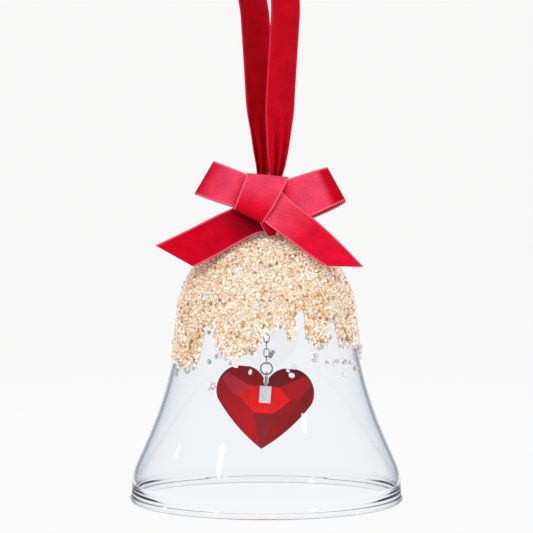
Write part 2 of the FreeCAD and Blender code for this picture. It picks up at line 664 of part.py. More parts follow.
def make_pin():
    length = 2 * plate_outside
    pieces = [add("Part::Cylinder", "pin_shank", Placement(Vector(0, plate_outside, pin_level), along_y),
                  Radius="Sizes.pin_radius")]
    pieces[0].Height = length
    for name, start in (("front", -plate_outside), ("back", plate_outside + size("pin_head_height"))):
        pieces.append(add("Part::Cylinder", f"pin_head_{name}",
                          Placement(Vector(0, start, pin_level), along_y),
                          Radius="Sizes.pin_head_radius", Height="Sizes.pin_head_height"))
    pin = fuse("bail_pin", pieces)
    pin.Placement = heart_place
    return pin


# ---------------------------------------------------------------- ribbon
def smooth(share):
    share = min(max(share, 0.0), 1.0)
    return share * share * (3 - 2 * share)


def ribbon_section(middle, width, across, thick_way):
    half_wide = across * (width / 2)
    half_thick = thick_way * (size("ribbon_thickness") / 2)
    corners = [middle - half_wide - half_thick, middle + half_wide - half_thick,
               middle + half_wide + half_thick, middle - half_wide + half_thick]
    return Part.makePolygon(corners + [corners[0]])


def make_hanging_ribbon():
    """One loop of ribbon: a gathered turn round the top of the ring, two strands that open out and
    turn to the loop's plane, and a half-round arch over the hanging point."""
    low = level("ring_top_wire")
    wrap = size("hardware_wire") / 2 + size("ring_to_ribbon_gap") + size("ribbon_thickness") / 2
    arch_middle = size("ribbon_thickness") / 2 + size("arch_radius")
    spring = -size("arch_radius")
    rise = spring - low
    loop_turn = size("loop_turn")
    stations = []
    for turn in range(0, 91, 30):  # half of the turn under the ring's wire
        angle = math.radians(turn)
        out = Vector(0, -math.sin(angle), -math.cos(angle))
        stations.append((Vector(0, 0, low) + out * wrap, size("gather_width"), Vector(1, 0, 0), out))
    steps = 14
    for step in range(1, steps):
        up = rise * step / steps
        opened = smooth(up / size("gather_height"))
        bearing = math.radians(loop_turn * opened)
        across = Vector(math.cos(bearing), math.sin(bearing), 0)
        out = Vector(math.sin(bearing), -math.cos(bearing), 0)
        gap = wrap + (arch_middle - wrap) * (step / steps) ** 1.25
        lean = size("strand_lean") * smooth(up / size("gather_height")) * smooth((rise - up) / 12)
        width = size("gather_width") + (size("ribbon_width") - size("gather_width")) * opened
        stations.append((Vector(lean, 0, low + up) + out * gap, width, across, out))
    bearing = math.radians(loop_turn)
    across = Vector(math.cos(bearing), math.sin(bearing), 0)
    out = Vector(math.sin(bearing), -math.cos(bearing), 0)
    for turn in range(0, 91, 15):
        angle = math.radians(turn)
        radial = out * math.cos(angle) + Vector(0, 0, math.sin(angle))
        stations.append((Vector(0, 0, spring) + radial * arch_middle, size("ribbon_width"), across, radial))
    # the far strand is the near one turned half way round, apart from its lean
    far = []
    for middle, width, across, out in reversed(stations[:-1]):
        centre_x = 0.0
        up = middle.z - low
        if 0 < up < rise:
            centre_x = size("strand_lean") * smooth(up / size("gather_height")) * smooth((rise - up) / 12)
        far.append((Vector(2 * centre_x - middle.x, -middle.y, middle.z), width, across,
                    Vector(-out.x, -out.y, out.z)))
    rings = [ribbon_section(*station) for station in stations + far[:-1]]
    solids = []
    for index in range(len(rings)):
        after = rings[(index + 1) % len(rings)]
        solids.append(Part.makeLoft([rings[index], after], True, True))
    band = solids[0]
    band = band.fuse(solids[1:])
    loop = doc.addObject("Part::Feature", "hanging_ribbon")
    loop.Shape = band
    return loop


bow_top = level("ring_top_wire") + size("bow_rise")
bow_tilt = math.radians(size("bow_tilt"))


def bow_plate(name, corners, thickness, back):
    """A stretch of ribbon in the bow's plane, which leans forward from its top line. Corners are
    across and down from that line as seen from the front; layers stack towards the front."""
    body = doc.addObject("PartDesign::Body", name)
    sketch = sketch_on(body, "XZ_Plane", name + "_outline")
    closed_polygon(sketch, [(across, -down / math.cos(bow_tilt)) for across, down in corners])
    pad = body.newObject("PartDesign::Pad", name + "_pad")
    pad.Profile = sketch
    pad.setExpression("Length", thickness)
    lean = Rotation(Vector(1, 0, 0), -size("bow_tilt"))
    top_line = Vector(0, -size("bow_stand_off"), bow_top)
    body.Placement = Placement(top_line + lean.multVec(Vector(0, -back, 0)), lean)
    return body


loop_back = size("tail_thickness") + size("layer_gap")
tail_right_back = loop_back + size("bow_layer") + size("layer_gap")

bow_outlines = [
    ("bow_tail_left", [(-7.0, 8.2), (-29.5, 18.7), (-19.2, 24.3), (-0.8, 14.2)],
     "Sizes.tail_thickness", 0),
    ("bow_loop_left", [(-19.2, 5.3), (-14.1, -3.4), (-5.3, 0.0), (-8.6, 8.9)],
     "Sizes.bow_layer", loop_back),
    ("bow_loop_right", [(5.8, 1.3), (16.2, -1.8), (21.0, 6.9), (11.8, 11.0), (2.4, 8.0)],
     "Sizes.bow_layer", loop_back),
    ("bow_tail_right", [(4.05, 4.75), (25.6, 24.1), (15.4, 23.9), (0.4, 11.9)],
     "Sizes.tail_thickness", tail_right_back),
    ("bow_knot", [(-5.3, 0.0), (5.8, 1.3), (0.4, 11.9), (-1.1, 12.9), (-8.6, 8.9)],
     "Sizes.knot_thickness", loop_back),
]


def make_stitches():
    """Two tacks of thread that hold the bow's knot to the two strands."""
    bars = []
    back = 2.2
    for name, down in (("upper", 2.5), ("lower", 4.5)):
        front = size("bow_stand_off") + down * math.tan(bow_tilt) + loop_back + size("layer_gap")
        bar = add("Part::Cylinder", f"stitch_{name}",
                  Placement(Vector(0, back, bow_top - down), along_y),
                  Radius="Sizes.stitch_radius")
        bar.Height = back + front
        bars.append(bar)
    group = doc.addObject("Part::Compound", "bow_stitches")
    group.Links = bars
    return group


# ---------------------------------------------------------------- the whole ornament
sub_parts = [
    make_hanging_ribbon(),
    make_stitches(),
    upright_ring("hanger_ring", "Sizes.hanger_ring_outer_radius", "Sizes.hardware_wire",
                 "Levels.hanger_ring", facing),
    make_glass_bell(),
    make_crust(),
    make_scattered_crystals(),
    make_outer_gasket(),
    make_crown_cap(),
    make_hanger_eye(),
    make_inner_gasket(),
    make_inner_washer(),
    make_chain_eye(),
    upright_ring("heart_ring", "Sizes.heart_ring_outer_radius", "Sizes.heart_ring_wire",
                 heart_ring_formula, facing),
    make_heart(),
    make_bail(),
    make_pin(),
]
for name, outline, thickness, back in bow_outlines:
    sub_parts.append(bow_plate(name, outline, thickness, back))
for number in range(1, link_count + 1):
    sub_parts.append(make_link(number))

doc.recompute()
for item in doc.Objects:
    if "Invalid" in item.State or "Error" in item.State:
        raise RuntimeError(f"{item.Label} did not build: {item.State}")
for piece in sub_parts:
    if piece.Shape.isNull() or not piece.Shape.isValid() or not piece.Shape.Solids:
        raise RuntimeError(f"{piece.Label} has no sound shape")

os.makedirs("parts", exist_ok=True)
for piece in sub_parts:
    piece.Shape.exportStep(f"parts/{piece.Label}.step")
    box = piece.Shape.optimalBoundingBox(False)
    print(f"{piece.Label}: {len(piece.Shape.Solids)} solid(s), {piece.Shape.Volume:.2f} mm3,"
          f" z {box.ZMin:.2f} to {box.ZMax:.2f}")
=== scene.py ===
# Looks of a clear glass bell ornament: crystal crust, ruby heart clapper, satin ribbon and bow
import json
import math

import bpy
import numpy as np
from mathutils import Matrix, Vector


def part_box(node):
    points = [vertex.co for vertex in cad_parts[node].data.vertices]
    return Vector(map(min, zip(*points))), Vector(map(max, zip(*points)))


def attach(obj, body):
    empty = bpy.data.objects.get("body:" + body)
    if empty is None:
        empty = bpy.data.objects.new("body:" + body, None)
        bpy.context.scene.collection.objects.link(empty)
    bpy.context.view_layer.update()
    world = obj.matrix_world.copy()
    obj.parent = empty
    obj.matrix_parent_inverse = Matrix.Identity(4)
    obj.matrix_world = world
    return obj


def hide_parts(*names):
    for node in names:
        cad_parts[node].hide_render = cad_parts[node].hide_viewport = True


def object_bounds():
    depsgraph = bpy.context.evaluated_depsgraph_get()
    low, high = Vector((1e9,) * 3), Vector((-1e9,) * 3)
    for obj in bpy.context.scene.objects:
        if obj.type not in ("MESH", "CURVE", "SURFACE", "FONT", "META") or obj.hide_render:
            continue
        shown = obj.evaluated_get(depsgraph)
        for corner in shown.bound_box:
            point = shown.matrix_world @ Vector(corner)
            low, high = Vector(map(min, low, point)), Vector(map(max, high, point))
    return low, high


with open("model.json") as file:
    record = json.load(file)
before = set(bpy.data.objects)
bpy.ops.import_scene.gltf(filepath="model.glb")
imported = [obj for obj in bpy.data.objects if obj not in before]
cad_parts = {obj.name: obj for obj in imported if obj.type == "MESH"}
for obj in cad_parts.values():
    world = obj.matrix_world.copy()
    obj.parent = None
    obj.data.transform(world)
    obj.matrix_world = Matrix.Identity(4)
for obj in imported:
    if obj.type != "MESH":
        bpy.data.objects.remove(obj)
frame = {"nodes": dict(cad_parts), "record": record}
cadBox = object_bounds()

mm = 0.001
scene = bpy.context.scene
draw = np.random.default_rng(24)


# Puts vertex and face arrays into a new mesh object at the origin.
def meshPiece(name, points, faces, smooth=True):
    mesh = bpy.data.meshes.new(name)
    mesh.from_pydata(points.reshape(-1, 3).tolist(), [], faces.tolist())
    mesh.polygons.foreach_set("use_smooth", np.full(len(faces), smooth))
    mesh.update()
    piece = bpy.data.objects.new(name, mesh)
    scene.collection.objects.link(piece)
    return piece


# A grid of points as quads: corner (i, j), then (i, j+1), (i+1, j+1), (i+1, j), wrapping where asked.
# across and along are the UV of each column and row, with one more value where the grid wraps.
def gridPiece(name, points, wrapRows=False, wrapColumns=False, across=None, along=None, smooth=True):
    rows, columns = points.shape[:2]
    i, j = np.meshgrid(np.arange(rows if wrapRows else rows - 1),
                       np.arange(columns if wrapColumns else columns - 1), indexing="ij")
    corners = [(i, j), (i, j + 1), (i + 1, j + 1), (i + 1, j)]
    faces = np.stack([(a % rows) * columns + b % columns for a, b in corners], -1).reshape(-1, 4)
    piece = meshPiece(name, points, faces, smooth)
    if across is not None:
        uv = np.stack([np.stack([across[b], along[a]], -1) for a, b in corners], 2)
        layer = piece.data.uv_layers.new(name="cloth")
        layer.data.foreach_set("uv", uv.astype(np.float32).ravel())
    return piece


# A round tube: at each path point a circle of the radius, in the plane of that point's two side vectors.
def tubePoints(path, sideA, sideB, radius, sides):
    angle = np.linspace(0, 2 * math.pi, sides, endpoint=False)[None, :, None]
    radius = np.broadcast_to(radius, (len(path),))[:, None, None]
    ring = sideA[:, None] * np.cos(angle) + sideB[:, None] * np.sin(angle)
    return path[:, None] + radius * ring


# A smooth curve through key points: between two keys, the cubic whose slope at a key is half the
# step from the key before to the key after. steps rows are made for each span.
def throughKeys(keys, steps):
    keys = np.asarray(keys, float)
    slope = np.gradient(keys, axis=0)
    t = (np.arange(steps) / steps).reshape(-1, *([1] * (keys.ndim - 1)))
    spans = []
    for k in range(len(keys) - 1):
        a, b, u, v = keys[k], keys[k + 1], slope[k], slope[k + 1]
        spans.append(a * (2 * t**3 - 3 * t**2 + 1) + b * (3 * t**2 - 2 * t**3)
                     + u * (t**3 - 2 * t**2 + t) + v * (t**3 - t**2))
    return np.concatenate(spans + [keys[-1:]])


# Rises smoothly from 0 to 1.
def ease(t):
    t = np.clip(t, 0, 1)
    return t * t * (3 - 2 * t)


# A new material with its Principled shader. Values that are even all over are set on its sockets.
def newMaterial(name, values):
    material = bpy.data.materials.new(name)
    material.use_nodes = True
    shader = material.node_tree.nodes["Principled BSDF"]
    for socket, value in values.items():
        shader.inputs[socket].default_value = value
    return material, material.node_tree, shader


def addNode(tree, kind, settings=None, inputs=None):
    node = tree.nodes.new(kind)
    for key, value in (settings or {}).items():
        setattr(node, key, value)
    for key, value in (inputs or {}).items():
        if isinstance(value, bpy.types.NodeSocket):
            tree.links.new(value, node.inputs[key])
        else:
            node.inputs[key].default_value = value
    return node


def mathNode(tree, operation, first, second=None, third=None):
    values = {k: v for k, v in enumerate((first, second, third)) if v is not None}
    return addNode(tree, "ShaderNodeMath", {"operation": operation}, values).outputs[0]


def mixColours(tree, share, first, second, blend="MIX"):
    node = addNode(tree, "ShaderNodeMix", {"data_type": "RGBA", "blend_type": blend},
                   {0: share, 6: first, 7: second})
    return node.outputs[2]


def rampNode(tree, value, stops):
    node = addNode(tree, "ShaderNodeValToRGB", inputs={0: value})
    elements = node.color_ramp.elements
    while len(elements) < len(stops):
        elements.new(0.5)
    for element, (position, colour) in zip(elements, stops):
        element.position = position
        element.color = colour
    return node.outputs[0]


def bumpNode(tree, height, strength, distance):
    return addNode(tree, "ShaderNodeBump", inputs={"Height": height, "Strength": strength,
                                                   "Distance": distance}).outputs[0]


def objectNoise(tree, scale, detail=2.0, roughness=0.5):
    place = addNode(tree, "ShaderNodeTexCoord").outputs["Object"]
    return addNode(tree, "ShaderNodeTexNoise", inputs={
        "Vector": place, "Scale": scale, "Detail": detail, "Roughness": roughness}).outputs["Fac"]


camera = {"distance": 750 * mm, "tilt": 3.5, "above foot": 63.5 * mm, "lens": 187.5, "sensor": 36}
studio = {
    "floor below": 150 * mm, "wall behind": 1500 * mm, "sweep": 500 * mm, "floor half": 1500 * mm,
    "wall half": 560 * mm, "front reach": 1600 * mm, "wall top": 1100 * mm, "narrows from": 0.2,
    "floor colour": (0.08, 0.08, 0.08, 1), "glow": (0.985, 0.98, 0.972, 1), "glow strength": 0.895,
    "surroundings": (0.36, 0.41, 0.47, 1), "lights aim at": (0, 0, -0.08),
}
# Each light by where it stands, its width and height in metres, and its power in watts.
softLights = {
    "key": ((-0.45, -0.6, 0.45), (0.5, 0.5), 3.9),
    "fill": ((0.6, -0.5, 0.1), (0.4, 0.7), 2.0),
    "rim_light": ((0.35, 0.35, 0.5), (0.4, 0.4), 1.8),
    "low_front": ((0, -0.7, -0.25), (0.6, 0.2), 0.8),
}
sparks = {
    "size": (0.05, 0.05), "power": 0.35,
    "places": [(-0.5, -0.45, 0.35), (0.45, -0.5, 0.25), (0.1, -0.6, 0.5), (-0.2, 0.3, 0.6),
               (0.6, 0.1, 0.3), (-0.6, 0.1, 0.15)],
}


def placeCamera():
    foot = cadBox[0][2]
    middle = Vector((0, 0, foot + camera["above foot"]))
    tilt = math.radians(camera["tilt"])
    away = Vector((0, -math.cos(tilt), math.sin(tilt))) * camera["distance"]
    data = bpy.data.cameras.new("camera")
    data.lens = camera["lens"]
    data.sensor_width = camera["sensor"]
    item = bpy.data.objects.new("camera", data)
    item.location = middle + away
    item.rotation_euler = (-away).to_track_quat("-Z", "Y").to_euler()
    scene.collection.objects.link(item)
    scene.camera = item


# Floor and backdrop in one sheet: flat, then a quarter circle, then straight up. It narrows towards
# the wall, so that only the middle of what the glass bends is white and its edges read darker.
def buildStage():
    floor = cadBox[0][2] - studio["floor below"]
    sweep = studio["sweep"]
    turn = np.linspace(0, math.pi / 2, 24)
    y = np.concatenate([[-studio["front reach"], 0], studio["wall behind"] + sweep * np.sin(turn),
                        [studio["wall behind"] + sweep]])
    z = np.concatenate([[0, 0], sweep * (1 - np.cos(turn)), [studio["wall top"]]])
    narrow = ease((y - studio["narrows from"] * studio["wall behind"]) / studio["wall behind"])
    half = studio["floor half"] + (studio["wall half"] - studio["floor half"]) * narrow
    x = np.linspace(-1, 1, 9) * half[:, None]
    points = np.stack(np.broadcast_arrays(x, y[:, None], floor + z[:, None]), -1)
    sheet = gridPiece("studio_floor", points)
    material = newMaterial("pale_floor", {
        "Base Color": studio["floor colour"], "Roughness": 0.9, "Emission Color": studio["glow"],
        "Emission Strength": studio["glow strength"]})[0]
    sheet.data.materials.append(material)


# A large light only lights: glossy pieces and glass reflect the small ones.
def softBox(name, place, size, power, reflected=False):
    data = bpy.data.lights.new(name, "AREA")
    data.shape = "RECTANGLE"
    data.size, data.size_y = size
    data.energy = power
    item = bpy.data.objects.new(name, data)
    item.location = place
    towards = Vector(studio["lights aim at"]) - Vector(place)
    item.rotation_euler = towards.to_track_quat("-Z", "Y").to_euler()
    item.visible_glossy = reflected
    item.visible_transmission = reflected
    scene.collection.objects.link(item)


def lightStudio():
    for name, (place, size, power) in softLights.items():
        softBox(name, place, size, power)
    for k, place in enumerate(sparks["places"]):
        softBox(f"spark_{k}", place, sparks["size"], sparks["power"], True)
    world = bpy.data.worlds.new("studio_world")
    world.use_nodes = True
    background = world.node_tree.nodes["Background"]
    background.inputs["Color"].default_value = studio["surroundings"]
    background.inputs["Strength"].default_value = 1.0
    scene.world = world
    scene.view_settings.view_transform = "Standard"


placeCamera()
buildStage()
lightStudio()
print("camera, stage and lights are in place")


glass = {
    "dome radius": 23.5 * mm, "hole radius": 1.7 * mm, "wall": 1.0 * mm, "waist": 5.0, "flare": 24.0,
    "flare radius": 107.641 * mm, "skirt": 7.116 * mm, "lip radius": 14.108 * mm, "lip": 3.0,
    "lip straight": 4.506 * mm, "bead radius": 0.85 * mm, "turns": 224, "dome rows": 60,
    "flare rows": 40, "lip rows": 14, "bead rows": 26, "tint": (0.985, 0.99, 1.0, 1), "ior": 1.36,
    "lamplight": (0.93, 0.95, 0.97, 1), "absorption": (0.45, 0.58, 0.72, 1), "density": 26.0,
}
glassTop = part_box("glass_bell")[1][2]
domeMiddle = glassTop - math.sqrt(glass["dome radius"] ** 2 - glass["hole radius"] ** 2)


# The bell's profile from the crown hole to the rim: an arc over the dome, an outward flare that is an
# arc about a centre outside the bell, a straight skirt, the arc of the lip and a short straight.
# Each row is radius, height and outward normal; inset moves the whole profile towards the inside.
def bellProfile(inset, fine=1):
    def arc(middle, radius, start, stop, count, outward):
        angle = np.radians(np.linspace(start, stop, int(count * fine)))
        c, s = np.cos(angle), np.sin(angle)
        sign = 1 if outward else -1
        return np.stack([middle[0] + radius * c, middle[1] + radius * s, sign * c, sign * s], -1)

    def along(point, angle, length):
        a = math.radians(angle)
        return np.array([point[0] + math.sin(a) * length, point[1] - math.cos(a) * length])

    def beside(point, angle, length):
        a = math.radians(angle)
        return np.array([point[0] + math.cos(a) * length, point[1] + math.sin(a) * length])

    radius = glass["dome radius"] - inset
    hole = math.degrees(math.acos(glass["hole radius"] / radius))
    dome = arc((0, domeMiddle), radius, hole, glass["waist"], glass["dome rows"], True)
    waist = beside((0, domeMiddle), glass["waist"], glass["dome radius"])
    flareMiddle = beside(waist, glass["waist"], glass["flare radius"])
    flare = arc(flareMiddle, glass["flare radius"] + inset, 180 + glass["waist"],
                180 + glass["flare"], glass["flare rows"], False)
    flareFoot = beside(flareMiddle, 180 + glass["flare"], glass["flare radius"])
    skirtFoot = along(flareFoot, glass["flare"], glass["skirt"])
    lipMiddle = beside(skirtFoot, 180 + glass["flare"], glass["lip radius"])
    lip = arc(lipMiddle, glass["lip radius"] - inset, glass["flare"], glass["lip"],
              glass["lip rows"], True)
    lipFoot = beside(lipMiddle, glass["lip"], glass["lip radius"] - inset)
    rim = along(lipFoot, glass["lip"], glass["lip straight"])
    a = math.radians(glass["lip"])
    foot = np.array([[rim[0], rim[1], math.cos(a), math.sin(a)]])
    return np.concatenate([dome, flare[1:], lip, foot])


# Turns rows of (radius, height) about the bell's axis. bearing 0 is the front, positive to the right.
def turned(radius, height, bearing):
    return np.stack(np.broadcast_arrays(radius * np.sin(bearing), -radius * np.cos(bearing), height), -1)


# Outer profile, then round the bead on the rim, then the inner profile back up to the crown hole.
def buildGlass():
    outer = bellProfile(0)
    inner = bellProfile(glass["wall"])[::-1]
    a = math.radians(glass["lip"])
    normal = np.array([math.cos(a), math.sin(a)])
    bead = (outer[-1, :2] + inner[0, :2]) / 2
    half = math.asin(glass["wall"] / 2 / glass["bead radius"])
    angle = np.linspace(math.pi / 2 - half, -1.5 * math.pi + half, glass["bead rows"])[:, None]
    down = np.array([normal[1], -normal[0]])
    ring = bead + glass["bead radius"] * (normal * np.cos(angle) - down * np.sin(angle))
    section = np.concatenate([outer[:-1, :2], ring, inner[1:, :2]])
    bearing = np.linspace(0, 2 * math.pi, glass["turns"], endpoint=False)
    points = turned(section[:, None, 0], section[:, None, 1], bearing[None, :])
    bell = gridPiece("bell_glass", points[:, ::-1], wrapRows=True, wrapColumns=True)
    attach(bell, "bell")
    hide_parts("glass_bell")
    return bell


# Glass that bends what is behind it, and lets lamps through to what it covers. Longer ways through it
# come out darker and bluer, so its edges read from every side.
def glassMaterial():
    material, tree, shader = newMaterial("clear_glass", {
        "Base Color": glass["tint"], "Roughness": 0.0, "IOR": glass["ior"], "Transmission Weight": 1.0})
    ripple = objectNoise(tree, 60.0, 1.0)
    tree.links.new(bumpNode(tree, ripple, 0.05, 0.0004), shader.inputs["Normal"])
    clear = addNode(tree, "ShaderNodeBsdfTransparent", inputs={"Color": glass["lamplight"]})
    path = addNode(tree, "ShaderNodeLightPath")
    mix = addNode(tree, "ShaderNodeMixShader", inputs={
        0: path.outputs["Is Shadow Ray"], 1: shader.outputs[0], 2: clear.outputs[0]})
    absorb = addNode(tree, "ShaderNodeVolumeAbsorption", inputs={
        "Color": glass["absorption"], "Density": glass["density"]})
    result = tree.nodes["Material Output"]
    tree.links.new(mix.outputs[0], result.inputs["Surface"])
    tree.links.new(absorb.outputs[0], result.inputs["Volume"])
    return material


bellGlass = buildGlass()
bellGlass.data.materials.append(glassMaterial())
print("glass bell blown")


crust = {
    "bed": 0.42 * mm, "chip": 0.54 * mm, "spacing": 0.86 * mm, "lift": 0.52 * mm, "margin": 0.7 * mm,
    "edge band": 3.0 * mm, "columns": 480, "rows": 90, "ripple": 0.25 * mm, "under": 0.02 * mm,
    "from hole": 0.8 * mm, "scatter": 0.25, "stray lift": 0.55 * mm, "stray scatter": 0.85,
}
# The crust's lower edge: bearing in degrees from the front, and millimetres below the top of the glass.
dripEdge = np.array([
    (-90, 29.0), (-82, 33.5), (-66, 35.4), (-55, 35.6), (-46, 34.0), (-42.5, 26.4), (-35, 25.4),
    (-32, 30.6), (-24, 32.2), (-14, 32.0), (-7, 30.6), (-2, 27.2), (1, 26.2), (11, 23.6), (13.5, 27.4),
    (17, 28.4), (18.6, 25.4), (19.4, 19.6), (24.6, 19.6), (25.6, 28.2), (34, 29.6), (42.4, 28.8),
    (43.6, 23.4), (49.4, 23.4), (50.8, 29.0), (70, 30.0), (90, 29.6), (104, 28.0),
    (110, 31.0), (122, 32.6), (126, 24.0), (140, 23.4), (144, 29.5), (151, 29.8), (153.5, 22.0),
    (163, 21.6), (167, 27.0), (184, 28.0), (198, 27.0), (209, 26.0), (212, 21.4), (225, 21.8),
    (229, 31.0), (240, 34.8), (252, 32.0), (260, 27.4), (270, 29.0)])
wall = bellProfile(0, fine=4)
wallRun = np.concatenate([[0], np.cumsum(np.hypot(*np.diff(wall[:, :2], axis=0).T))])


# A point on the glass: run is how far down the profile from the crown hole, lift is how far out.
def onGlass(bearing, run, lift):
    radius, height, nr, nz = (np.interp(run, wallRun, wall[:, k]) for k in range(4))
    return turned(radius + lift * nr, height + lift * nz, bearing)


# How far down the profile the crust reaches at a bearing: the edge list, with a small ripple.
def crustReach(bearing):
    drop = np.interp(np.degrees(bearing), dripEdge[:, 0], dripEdge[:, 1], period=360) * mm
    drop = drop + (np.sin(bearing * 37) + np.sin(bearing * 61 + 1)) * crust["ripple"]
    return np.interp(-drop, wall[::-1, 1] - glassTop, wallRun[::-1])


# The bed that the chips sit in: out over the crust, round its lower edge and back along the glass,
# its thickness rippled by a sum of waves in bearing and run.
def buildBed():
    bearing = np.linspace(0, 2 * math.pi, crust["columns"], endpoint=False)[None, :]
    reach = crustReach(bearing) - crust["margin"]
    share = np.linspace(0, 1, crust["rows"])[:, None]
    run = share * reach
    waves = np.sin(run / mm * 4.1 + np.sin(bearing * 23) * 2) * np.sin(bearing * 83 + run / mm * 2.3)
    thick = crust["bed"] * (1 + 0.45 * waves) * np.sqrt(np.clip((1 - share) * 14, 0.02, 1))
    outer = onGlass(bearing, run, thick)
    inner = onGlass(bearing, run, np.full_like(thick, crust["under"]))[::-1]
    points = np.concatenate([outer, inner])
    return gridPiece("crust_bed", points[:, ::-1], wrapRows=True, wrapColumns=True)


# A twenty-sided stone: the corners of an icosahedron.
def stoneShape():
    g = (1 + math.sqrt(5)) / 2
    corners = [(0, s, t * g) for s in (-1, 1) for t in (-1, 1)]
    corners += [(s, t * g, 0) for s in (-1, 1) for t in (-1, 1)]
    corners += [(t * g, 0, s) for s in (-1, 1) for t in (-1, 1)]
    corners = np.array(corners, float) / math.hypot(1, g)
    near = np.linalg.norm(corners[:, None] - corners[None], axis=-1) < 1.1
    faces = [(i, j, k) for i in range(12) for j in range(i + 1, 12) for k in range(j + 1, 12)
             if near[i, j] and near[j, k] and near[i, k]]
    faces = [f if np.dot(np.cross(corners[f[1]] - corners[f[0]], corners[f[2]] - corners[f[0]]),
                         corners[f[0]]) > 0 else f[::-1] for f in faces]
    return corners, np.array(faces)


# Many small stones in one mesh: each is the twenty-sided stone, stretched, knocked about at its
# corners, turned at random and set at its place, with its own tint on every corner.
def stones(name, places, sizes, tints):
    corners, faces = stoneShape()
    count = len(places)
    turn = np.linalg.qr(draw.normal(size=(count, 3, 3)))[0]
    turn *= np.sign(np.linalg.det(turn))[:, None, None]
    shape = corners[None] * draw.uniform(0.72, 1.22, (count, 1, 3))
    shape = shape * draw.uniform(0.86, 1.12, (count, 12, 1))
    points = places[:, None] + np.einsum("nij,nkj->nki", turn, shape) * sizes[:, None, None]
    every = faces[None] + 12 * np.arange(count)[:, None, None]
    piece = meshPiece(name, points, every.reshape(-1, 3), smooth=False)
    layer = piece.data.attributes.new("tint", "FLOAT_COLOR", "POINT")
    colour = np.repeat(np.concatenate([tints, np.ones((count, 1))], 1), 12, axis=0)
    layer.data.foreach_set("color", colour.astype(np.float32).ravel())
    return piece


champagne = {
    "cream": (0.96, 0.76, 0.54), "white": (1.0, 0.95, 0.88), "gold": (0.92, 0.48, 0.14),
    "brown": (0.36, 0.19, 0.10), "lilac": (0.86, 0.80, 0.80),
}


# Each chip's colour: cream or white by chance, more gold towards the sides, now and then brown, and
# colourless lilac near the lower edge.
def chipTints(bearing, run, fromEdge):
    count = len(bearing)
    chance = draw.uniform(size=(5, count))
    cream, white, gold, brown, lilac = (np.array(champagne[k]) for k in champagne)
    tint = cream + (white - cream) * chance[0][:, None]
    patch = np.sin(bearing * 2 + 0.4) ** 2 * (0.6 + 0.4 * np.sin(bearing * 7 + run / mm * 0.35))
    warm = (chance[1] < 0.10 + 0.42 * patch)[:, None]
    tint = np.where(warm, tint + (gold - tint) * (0.35 + 0.5 * chance[4][:, None]), tint)
    tint = np.where((chance[2] < 0.07)[:, None], brown + (gold - brown) * chance[4][:, None] * 0.8, tint)
    pale = (chance[3] < 0.5 * (1 - ease(fromEdge / crust["edge band"])))[:, None]
    return np.where(pale, lilac * (0.6 + 0.8 * chance[4][:, None]), tint)


# Chips on a golden-angle spiral: chip number n sits where the area above it is n equal shares, with a
# little scatter, so that the dome is evenly covered.
def buildChips():
    step = np.diff(wallRun)
    area = np.concatenate([[0], np.cumsum(math.pi * (wall[1:, 0] + wall[:-1, 0]) * step)])
    deepest = dripEdge[:, 1].max() * mm
    total = np.interp(deepest, glassTop - wall[:, 1], area)
    count = int(total / crust["spacing"] ** 2 / 0.9)
    number = np.arange(count) + 0.5
    run = np.interp(number / count * total, area, wallRun)
    bearing = number * math.pi * (3 - math.sqrt(5))
    run = run + draw.normal(0, crust["scatter"], count) * crust["spacing"]
    radius = np.interp(run, wallRun, wall[:, 0])
    bearing = bearing + draw.normal(0, crust["scatter"], count) * crust["spacing"] / radius
    bearing = (bearing + math.pi) % (2 * math.pi) - math.pi
    fromEdge = crustReach(bearing) - run
    keep = (fromEdge > draw.uniform(-0.4, 0.5, count) * mm) & (run > crust["from hole"])
    bearing, run, fromEdge = bearing[keep], run[keep], fromEdge[keep]
    count = len(run)
    size = crust["chip"] * draw.uniform(0.72, 1.12, count) * (1 + 0.2 * (fromEdge < 2.5 * mm))
    lift = crust["lift"] * draw.uniform(0.55, 1.25, count)
    chips = stones("crust_chips", onGlass(bearing, run, lift), size, chipTints(bearing, run, fromEdge))
    print("crust of", count, "chips")
    return chips


# Loose chips that have run down the glass: bearing, millimetres below the top, and how many together.
strayChips = [
    (-65, 37.0, 2), (-54, 37.0, 2), (-31, 40.4, 5), (-22.5, 33.8, 2), (-18.3, 33.9, 1), (-9.4, 35.4, 1),
    (16.3, 34.1, 1), (14.2, 36.2, 3), (27.9, 30.6, 1), (29.6, 32.6, 1), (47, 33.8, 4), (51, 37.0, 1),
    (81, 31.0, 5), (-87, 28.8, 2), (31, 31.4, 1), (64, 34.4, 2), (98, 33.0, 3), (118, 36.0, 2),
    (139, 37.0, 1), (160, 30.0, 2), (177, 35.6, 3), (199, 34.6, 1), (216, 36.6, 2), (232, 38.4, 1),
    (251, 35.8, 3), (263, 31.4, 1)]


def buildStrays():
    rows = np.repeat(np.array(strayChips, float), [c[2] for c in strayChips], axis=0)
    count = len(rows)
    inGroup = (rows[:, 2] > 1)[:, None]
    scatter = draw.normal(0, crust["stray scatter"], (count, 2)) * mm * inGroup
    run = np.interp(-rows[:, 1] * mm, wall[::-1, 1] - glassTop, wallRun[::-1]) + scatter[:, 0]
    radius = np.interp(run, wallRun, wall[:, 0])
    bearing = np.radians(rows[:, 0]) + scatter[:, 1] / radius
    size = draw.uniform(0.62, 0.86, count) * mm
    chance = draw.uniform(size=(count, 1))
    tints = np.array(champagne["lilac"]) * (0.8 + 0.7 * chance) + np.array([0.05, 0.02, 0]) * chance
    return stones("stray_chips", onGlass(bearing, run, crust["stray lift"]), size, tints)


